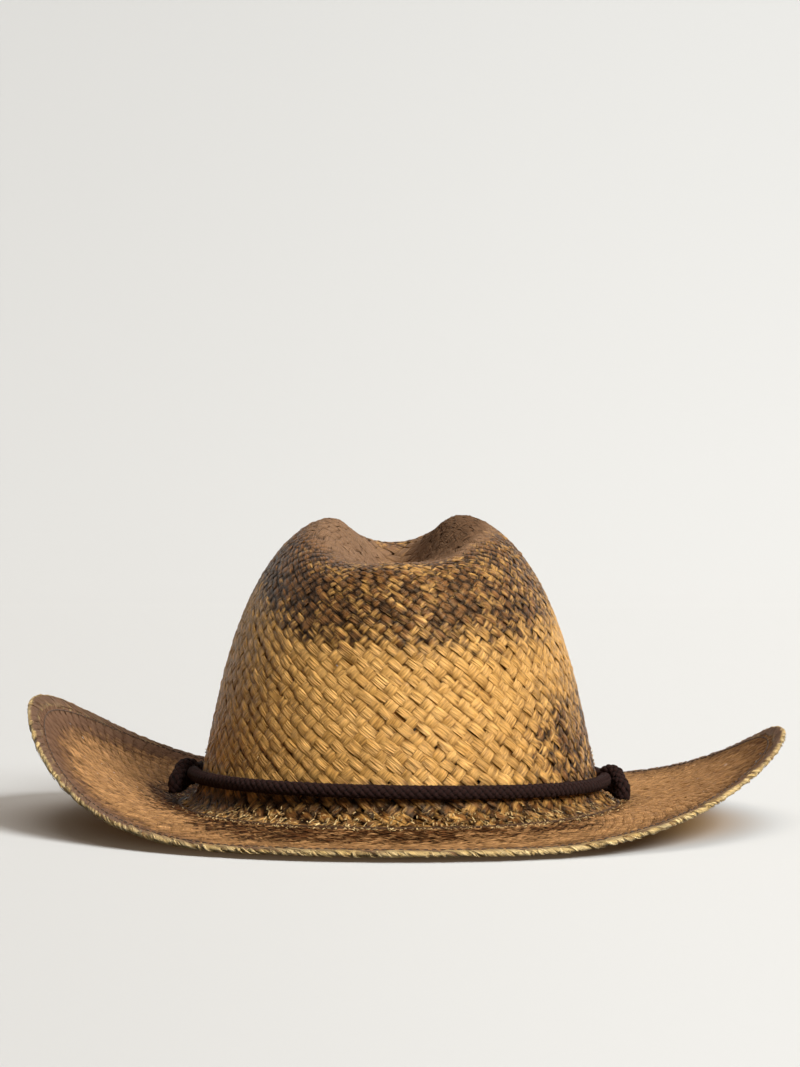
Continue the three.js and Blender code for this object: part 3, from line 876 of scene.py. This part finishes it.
def make_hem():
    """Each strand's end is folded over the edge and back under the brim, slanting as it goes."""
    rng = np.random.default_rng(21)
    mesh = Mesh()
    path = curve_through(HEM_FOLD, 22)
    normal = unit(np.stack([-np.gradient(path[:, 1]), np.gradient(path[:, 0])], -1))
    for i in range(HEM_STRANDS):
        turn = TAU * (i + rng.normal(0, 0.1)) / HEM_STRANDS
        room = edge_arm(turn) * TAU / HEM_STRANDS
        reach = rng.uniform(0.45, 1) if rng.random() < 0.75 else 0.3
        keep = path[:, 0] > np.where(path[:, 1] > 0, -5 - 3 * reach, -20)
        track, facing = path[keep], normal[keep]
        out = track[:, 0] + rng.normal(-0.05, 0.2) + wander(rng, len(track), 4, 0.1)
        travel = travelled(track)
        outermost = travel[np.argmax(track[:, 0])]
        shift = HEM_SLANT * (travel - outermost) + wander(rng, len(track), 8, 0.3)
        turns = turn + shift / edge_arm(turn)
        layer = 0.06 * (i % 2)
        widths = room * (1.02 + rng.normal(0, 0.1) + wander(rng, len(track), 5, 0.16))
        heights = uneven_heights(rng, len(track), 0.26, 5, 0.12)
        heights = np.clip(heights, -0.1, np.where(track[:, 1] < -0.8, 0.28, 0.5)[:, None])
        corner_turns = turns[:, None] - RIBBON_ACROSS[None, :] * widths[:, None] / 2 / edge_arm(turn)
        off = heights + layer
        rings = edge_point(corner_turns, out[:, None] + off * facing[:, 0, None],
                           track[:, 1, None] + off * facing[:, 1, None])
        across = ribbon_across(widths)
        above = smooth(0.1, 0.58, track[:, 1])
        front = smooth(0.3, 1, -math.sin(turn))
        stain = above * (1 - 0.5 * front) + max(0, rng.normal(0.1, 0.25))
        mesh.add_strand(rings, stacked(travel[:, None], across, rng.uniform(0, 50)),
                        stacked(stain[:, None], heights + 0.55, above[:, None]))
    add_flakes(mesh, path, normal, 800, rng)
    add_hem_lining(mesh, path, normal)
    finish_piece(mesh.build("brim_edge_folds", EDGE_STRAW), "hat", ("brim_edge_hem",))


def make_wire():
    mesh = Mesh()
    turns = np.linspace(0, TAU, 720)
    add_tube(mesh, edge_point(turns, -2.35, -0.05), 0.5, 10, ups=brim_normals(turns, np.ones(720)))
    finish_piece(mesh.build("brim_wire_ring", WIRE), "hat", ("brim_wire",))


def add_stitches(mesh, centre_at, count, fill, lift, rng):
    """Separate stitches round a ring: each rises out of the material and goes back in."""
    for i in range(count):
        turns = TAU * (i + np.linspace(0, fill * rng.uniform(0.85, 1.1), 9)) / count
        arch = np.sin(np.linspace(0, math.pi, 9))
        radii = 0.26 * (0.55 + 0.45 * arch)
        add_tube(mesh, centre_at(turns, lift * arch ** 0.6), radii, 7, tone=rng.uniform(0, 50))


def make_hem_stitching():
    mesh = Mesh()
    share = 1 - 7 / (BRIM_HALF_LENGTH - CROWN_HALF_LENGTH)

    def centre_at(turns, lift):
        shares = np.full_like(turns, share)
        return brim_mid(turns, shares) + (0.62 + lift)[:, None] * brim_normals(turns, shares)

    add_stitches(mesh, centre_at, 300, 0.7, 0.3, np.random.default_rng(22))
    finish_piece(mesh.build("hem_stitches", HEM_THREAD), "hat", ("brim_hem_stitching",))


# --------------------------------------------------------------------------------------------------
# Hat cord: two lengths of round braid, half-knotted at both sides of the crown.

KNOT_RADIUS, KNOT_HALF, KNOT_ANGLE = 3.3, 5.5, 0.16
BRAID_YARNS = 5              # in each direction
BRAID_LAY = 17.0             # length of cord for one full turn of a yarn


def cord_on_crown(turn):
    front = np.maximum(0, -np.sin(turn))
    z = CORD_Z + CORD_RISE * (front * front - np.cos(turn))
    share = (z - CROWN_FOOT) / CROWN_RISE
    point = crown_lifted(turn, share, CORD_RADIUS + GAP)
    point[..., 2] = z
    return point


def cord_path(facing):
    """Points of a cord's centre line, in order from the +X end to the -X end."""
    def knot_end(side):
        start = cord_on_crown(np.array(0.0 if side > 0 else math.pi))
        points = []
        for place in (-1, -0.5, 0, 0.5, 1):
            turn = math.pi * (1 - (place + 1) / 2)
            out, up = KNOT_RADIUS * (1 + math.cos(turn)), facing * KNOT_RADIUS * math.sin(turn)
            points.append((out, -place * KNOT_HALF, up))
        if facing > 0:
            points += [(8.4, -9, -3.2), (8.3, -9.6, -5.9), (8.2, -9.6, -8)]
        else:
            points += [(7.4, -9, -3.2), (6.4, -9.8, -5.6), (4.6, -9.2, -7.4)]
        return [start + np.array((side * out, facing * along, up)) for out, along, up in points]

    run = [cord_on_crown(facing * turn) for turn in np.linspace(KNOT_ANGLE, math.pi - KNOT_ANGLE, 15)]
    return knot_end(1)[::-1] + run + knot_end(-1)


def make_cord(name, facing, node_name, seed):
    rng = np.random.default_rng(seed)
    centres = curve_through(cord_path(facing), 1500)
    length = np.linalg.norm(np.diff(centres, axis=0), axis=-1).sum()
    rows = int(2 * BRAID_YARNS * length / BRAID_LAY)
    samples = np.linspace(0, 1, rows * 4 + 1)
    along = unit(np.gradient(centres, axis=0))
    ups = carried_ups(centres, along)

    def sampled(values):
        place = np.linspace(0, 1, len(values))
        return np.stack([np.interp(samples, place, values[:, k]) for k in range(3)], -1)

    middle, up, ahead = sampled(centres), unit(sampled(ups)), unit(sampled(along))
    side = np.cross(ahead, up)
    sigma = samples * rows * math.pi / BRAID_YARNS
    end_flare = 1 + 0.05 * np.exp(-((1 - np.abs(2 * samples - 1)) * length / 2 / 1.6) ** 2)
    mesh = Mesh()
    add_tube(mesh, middle[::4], 1.75, 10, ups=up[::4])        # the core under the braid
    for hand in (-1, 1):
        for i in range(BRAID_YARNS):
            turn = TAU * i / BRAID_YARNS + hand * sigma + wander(rng, len(samples), 20, 0.04)
            outward = np.cos(turn)[:, None] * side + np.sin(turn)[:, None] * up
            over = hand * crossing_wave(BRAID_YARNS * sigma, 0.8)
            radius = (2.3 + 0.36 * over) * end_flare + wander(rng, len(samples), 9, 0.03)
            yarn = middle + radius[:, None] * outward
            # Painted shade: each yarn is darkened where it dips under the crossing yarns.
            unshaded = stacked(0, smooth(-0.9, 0.9, over) * 0.9 + 0.1, 0)[:, None, :]
            add_tube(mesh, yarn, 1.05, 8, 0.5, outward, tone=rng.uniform(0, 50), tint=unshaded)
    finish_piece(mesh.build(name, CORD), "hat_cord", (node_name,))
    ends = Mesh()
    for at, away in ((0, -1), (-1, 1)):
        for _ in range(70):
            turn, reach = rng.uniform(0, TAU), math.sqrt(rng.uniform(0, 1)) * 2.5
            outward = math.cos(turn) * side[at] + math.sin(turn) * up[at]
            start = middle[at] + reach * outward - away * ahead[at] * 1.5
            tip = start + away * ahead[at] * rng.uniform(1.7, 2.6) + outward * reach * rng.uniform(0.0, 0.15)
            bend = (start + tip) / 2 + rng.normal(0, 0.18, 3)
            path = curve_through([start, bend, tip], 6)
            add_tube(ends, path, np.linspace(0.2, 0.1, 6), 5, tone=rng.uniform(0, 50))
    finish_piece(ends.build(name + "_cut_ends", CORD), "hat_cord")


# --------------------------------------------------------------------------------------------------
# Inside the crown: sweatband, its stitching, and two blank labels.

BAND_HEIGHT, BAND_THICKNESS, BAND_FOOT = 28.0, 1.2, 2.6
BAND_DEPTH = CROWN_WALL + GAP


def band_point(turn, z, depth):
    share = np.maximum(0, (z - CROWN_FOOT) / CROWN_RISE)
    point = crown_lifted(turn, share, -np.asarray(depth) * np.ones_like(turn))
    point[..., 2] = z
    return point


def make_sweatband():
    """A cloth band with a rolled top edge, standing just inside the crown."""
    mesh = Mesh()
    count = 361
    turns = np.linspace(0, TAU, count)
    half = BAND_THICKNESS / 2
    lower, upper = BAND_FOOT + half, BAND_FOOT + BAND_HEIGHT - half
    inner = [(z, half) for z in np.linspace(lower, upper - 3, 8)]
    rolled = [(upper - 2.2, half + 0.25), (upper - 0.6, half + 0.2), (upper + half, 0.1), (upper, -half)]
    outer = [(z, -half) for z in np.linspace(upper - 3, lower, 5)]
    profile = inner + rolled + outer + [(BAND_FOOT, 0.0)]
    ripple = 0.12 * np.sin(turns * 23) * np.sin(turns * 7 + 1)
    rings = []
    for z, inward in profile:
        free = smooth(BAND_FOOT + 6, upper, z) * (1 if inward > 0 else 0.4)
        depth = BAND_DEPTH + half + inward + 0.1 + free * (0.12 + ripple)
        rings.append(band_point(turns, np.full(count, z), depth))
    rings = np.stack(rings, 1)
    along = travelled(rings[:, 0])
    travel = np.concatenate([[0], np.cumsum(np.hypot(*np.diff(np.array(profile), axis=0).T))])
    mesh.add_strand(rings, stacked(along[:, None], travel[None, :], 0.0), np.zeros(rings.shape))
    finish_piece(mesh.build("sweatband_cloth_band", BAND_CLOTH), "hat", ("sweatband",))


def make_sweatband_stitching():
    mesh = Mesh()

    def centre_at(turns, lift):
        return band_point(turns, np.full_like(turns, 4.4), BAND_DEPTH + BAND_THICKNESS + 0.1 + lift)

    add_stitches(mesh, centre_at, 190, 0.7, 0.45, np.random.default_rng(41))
    finish_piece(mesh.build("sweatband_stitches", THREAD), "hat", ("sweatband_stitching",))


def make_label(name, body, node_name, seed):
    """A blank woven tape label: a thin, slightly wavy sheet with folded side edges, in its solid's place."""
    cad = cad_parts[node_name].data
    corners = np.array([v.co for v in cad.vertices]) / MM
    centre = (corners.max(0) + corners.min(0)) / 2
    edges = np.array([corners[e.vertices[1]] - corners[e.vertices[0]] for e in cad.edges])
    lengths = np.linalg.norm(edges, axis=1)
    # The solid's three directions and sizes, shortest first.
    axes, sizes = [], []
    for k in np.argsort(lengths):
        direction = edges[k] / max(lengths[k], 1e-9)
        if lengths[k] > 0.1 and all(abs(np.dot(direction, a)) < 0.2 for a in axes):
            axes.append(direction)
            sizes.append(lengths[k])
    thin, first, second = axes
    _, width, height = sizes
    rng = np.random.default_rng(seed)
    rows, count = 25, 21
    mesh = Mesh()
    u = np.linspace(-0.5, 0.5, rows)
    v = np.linspace(-0.5, 0.5, count)
    folded = 0.06 + 0.1 * smooth(0.4, 0.44, np.abs(v))
    wave = 0.05 * np.sin(v[None, :] * 9 + 3 * u[:, None] + rng.uniform(0, 6))
    flat = centre + u[:, None, None] * height * second + v[None, :, None] * width * first
    front = flat + (folded[None, :] + wave)[..., None] * thin
    back = flat - (folded[None, :] - wave)[..., None] * thin
    rings = np.concatenate([front, back[:, ::-1]], 1)
    if np.dot(np.cross(first, second), thin) < 0:
        rings = rings[:, ::-1]
    place = np.concatenate([v * width, (v * width)[::-1]])
    mesh.add_strand(rings, stacked((u * height)[:, None], place[None, :], 0.0), np.zeros(rings.shape))
    finish_piece(mesh.build(name, LABEL_TAPE), body, (node_name,))


make_crown()
make_crown_centre()
make_brim()
make_foot_ends()
make_hem()
make_wire()
make_hem_stitching()
make_cord("front_cord_braid", -1, "hat_cord_front", 31)
make_cord("rear_cord_braid", 1, "hat_cord_rear", 32)
make_sweatband()
make_sweatband_stitching()
make_label("size_label_tape", "hat", "size_label", 51)
make_label("care_label_tape", "care_label", "care_label", 52)


# --------------------------------------------------------------------------------------------------
# Stage, light and camera.

KEY_DIRECTION = Vector((0.54, -0.64, 0.54)).normalized()
KEY_STRENGTH = 4.4
OVERHEAD_DIRECTION = Vector((0.12, -0.22, 0.95)).normalized()
OVERHEAD_STRENGTH = 1.25
ROOM_LIGHT = 0.06
ROOM_SEEN = 0.8               # brightness of the room where the camera sees past the backdrop
FLOOR_COLOUR = (0.676, 0.715, 0.738)
FLOOR_DROP = 0.0024           # the front of the brim stands clear of the floor by this much
WALL_SHADE = 0.87             # brightness of the backdrop against the floor
FLOOR_GLOW = (0.1, 0.07, 0.045)         # light that fills the shadows outside the hat
HIDDEN_GLOW = (0.03, 0.0165, 0.0075)    # the same under the hat
HIDDEN_TINT = (0.72, 0.42, 0.18)        # colour of the light that comes off and through the straw
CAMERA_DISTANCE = 1.8
CAMERA_X = -0.003
CAMERA_ELEVATION = 5.5
FRAME_HEIGHT = 0.4823        # metres of the hat's own plane that the long side of the picture covers
PICTURE_CENTRE = 0.1268       # height on the hat's own plane at the middle of the picture


def backdrop_material():
    """Pale and even all over, with painted shade darkening it towards the left of the picture, a painted glow
    that lights its shadows, and painted warm bounce light under the hat.
    """
    material, tree, shader = new_material("backdrop")
    geometry = node(tree, "ShaderNodeNewGeometry")
    normal = geometry.outputs["Normal"]
    # The light that reaches each slope is evened out, so that floor and backdrop look like one surface.
    received, on_floor = math.pi * ROOM_LIGHT, math.pi * ROOM_LIGHT
    for direction, strength in ((KEY_DIRECTION, KEY_STRENGTH), (OVERHEAD_DIRECTION, OVERHEAD_STRENGTH)):
        facing = node(tree, "ShaderNodeVectorMath", operation="DOT_PRODUCT")
        facing.inputs[1].default_value = direction
        link(tree, normal, facing.inputs[0])
        lit = maths(tree, "MULTIPLY", maths(tree, "MAXIMUM", facing.outputs["Value"], 0.0), strength)
        received = maths(tree, "ADD", lit, received)
        on_floor += direction.z * strength
    steepness = node(tree, "ShaderNodeSeparateXYZ")
    link(tree, normal, steepness.inputs[0])
    wall = ranged(tree, steepness.outputs["Z"], 0.0, 1.0, WALL_SHADE)
    evened = maths(tree, "MULTIPLY", maths(tree, "DIVIDE", on_floor, received), wall)
    place = node(tree, "ShaderNodeSeparateXYZ")
    link(tree, geometry.outputs["Position"], place.inputs[0])
    ahead = maths(tree, "ADD", place.outputs["Y"], CAMERA_DISTANCE)
    bearing = maths(tree, "DIVIDE", place.outputs["X"], ahead)
    # Painted falloff of the light: the floor and backdrop are darker towards the left of the picture.
    sideways = ranged(tree, bearing, -0.16, 0.14, 0.84, soft=True)
    outline = node(tree, "ShaderNodeVectorMath", operation="DIVIDE")
    link(tree, geometry.outputs["Position"], outline.inputs[0])
    outline.inputs[1].default_value = (BRIM_HALF_WIDTH * MM, BRIM_HALF_LENGTH * MM, 1)
    out = node(tree, "ShaderNodeVectorMath", operation="LENGTH")
    link(tree, outline.outputs[0], out.inputs[0])
    share_out = out.outputs["Value"]        # 0 at the middle of the hat, 1 at the brim's outline
    shade = node(tree, "ShaderNodeVectorMath", operation="SCALE")
    shade.inputs[0].default_value = FLOOR_COLOUR
    link(tree, maths(tree, "MULTIPLY", evened, sideways), shade.inputs["Scale"])
    # Painted bounce light: the floor is tinted warm under the brim, as by light that comes off and through
    # the straw.
    painted_bounce = mix_colour(tree, ranged(tree, share_out, 0.72, 1.0, soft=True), HIDDEN_TINT, (1, 1, 1))
    link(tree, mix_colour(tree, 1.0, shade.outputs[0], painted_bounce, "MULTIPLY"), shader.inputs["Base Color"])
    # Painted glow that fills the floor's shadows, weaker under the hat.
    glow = mix_colour(tree, ranged(tree, share_out, 0.8, 1.05, soft=True), HIDDEN_GLOW, FLOOR_GLOW)
    link(tree, glow, shader.inputs["Emission Color"])
    set_inputs(shader, Emission_Strength=1.0, Roughness=0.9, Specular_IOR_Level=0.1)
    return material


def make_stage():
    """A pale floor that runs up into a backdrop in one sweep."""
    radius, depth, width, height = 1.2, 2.2, 120.0, 5.0
    angles = np.linspace(0, math.pi / 2, 24)
    bend = [(depth + radius * math.sin(a), radius - radius * math.cos(a)) for a in angles]
    profile = [(-width, 0.0)] + bend + [(depth + radius, height)]
    points = [(x, y, z - FLOOR_DROP) for y, z in profile for x in (-width, width)]
    faces = [(2 * i, 2 * i + 1, 2 * i + 3, 2 * i + 2) for i in range(len(profile) - 1)]
    mesh = bpy.data.meshes.new("backdrop")
    mesh.from_pydata(points, [], faces)
    mesh.polygons.foreach_set("use_smooth", [True] * len(faces))
    mesh.materials.append(backdrop_material())
    stage = bpy.data.objects.new("backdrop", mesh)
    bpy.context.scene.collection.objects.link(stage)
    stage.visible_diffuse = False


def add_sun(name, direction, strength, angle, colour):
    """direction points from the hat towards the light. angle is the light's apparent size, in degrees."""
    light = bpy.data.lights.new(name, "SUN")
    light.energy = strength
    light.angle = math.radians(angle)
    light.color = colour
    lamp = bpy.data.objects.new(name, light)
    lamp.rotation_euler = Vector(direction).to_track_quat("Z", "Y").to_euler()
    bpy.context.scene.collection.objects.link(lamp)


def make_light():
    add_sun("key", KEY_DIRECTION, KEY_STRENGTH, 24, (1, 0.985, 0.955))
    add_sun("overhead", OVERHEAD_DIRECTION, OVERHEAD_STRENGTH, 50, (1, 0.91, 0.82))
    world = bpy.data.worlds.new("studio")
    world.use_nodes = True
    tree = world.node_tree
    background = tree.nodes["Background"]
    set_inputs(background, Color=(0.95, 0.95, 0.95, 1))
    seen = maths(tree, "MULTIPLY", node(tree, "ShaderNodeLightPath").outputs["Is Camera Ray"], ROOM_SEEN)
    link(tree, maths(tree, "MAXIMUM", seen, ROOM_LIGHT), background.inputs["Strength"])
    bpy.context.scene.world = world
    bpy.context.scene.view_settings.view_transform = "Standard"


def make_camera():
    """Level camera a little above the hat, with the picture shifted down onto it."""
    camera = bpy.data.cameras.new("camera")
    height = CAMERA_DISTANCE * math.tan(math.radians(CAMERA_ELEVATION))
    camera.sensor_width = 36
    camera.lens = 36 * CAMERA_DISTANCE / FRAME_HEIGHT
    lens_object = bpy.data.objects.new("camera", camera)
    lens_object.location = (CAMERA_X, -CAMERA_DISTANCE, height)
    lens_object.rotation_euler = (math.pi / 2, 0, 0)
    camera.shift_y = -(height - PICTURE_CENTRE) / FRAME_HEIGHT
    camera.clip_end = 50
    bpy.context.scene.collection.objects.link(lens_object)
    bpy.context.scene.camera = lens_object


make_stage()
make_light()
make_camera()
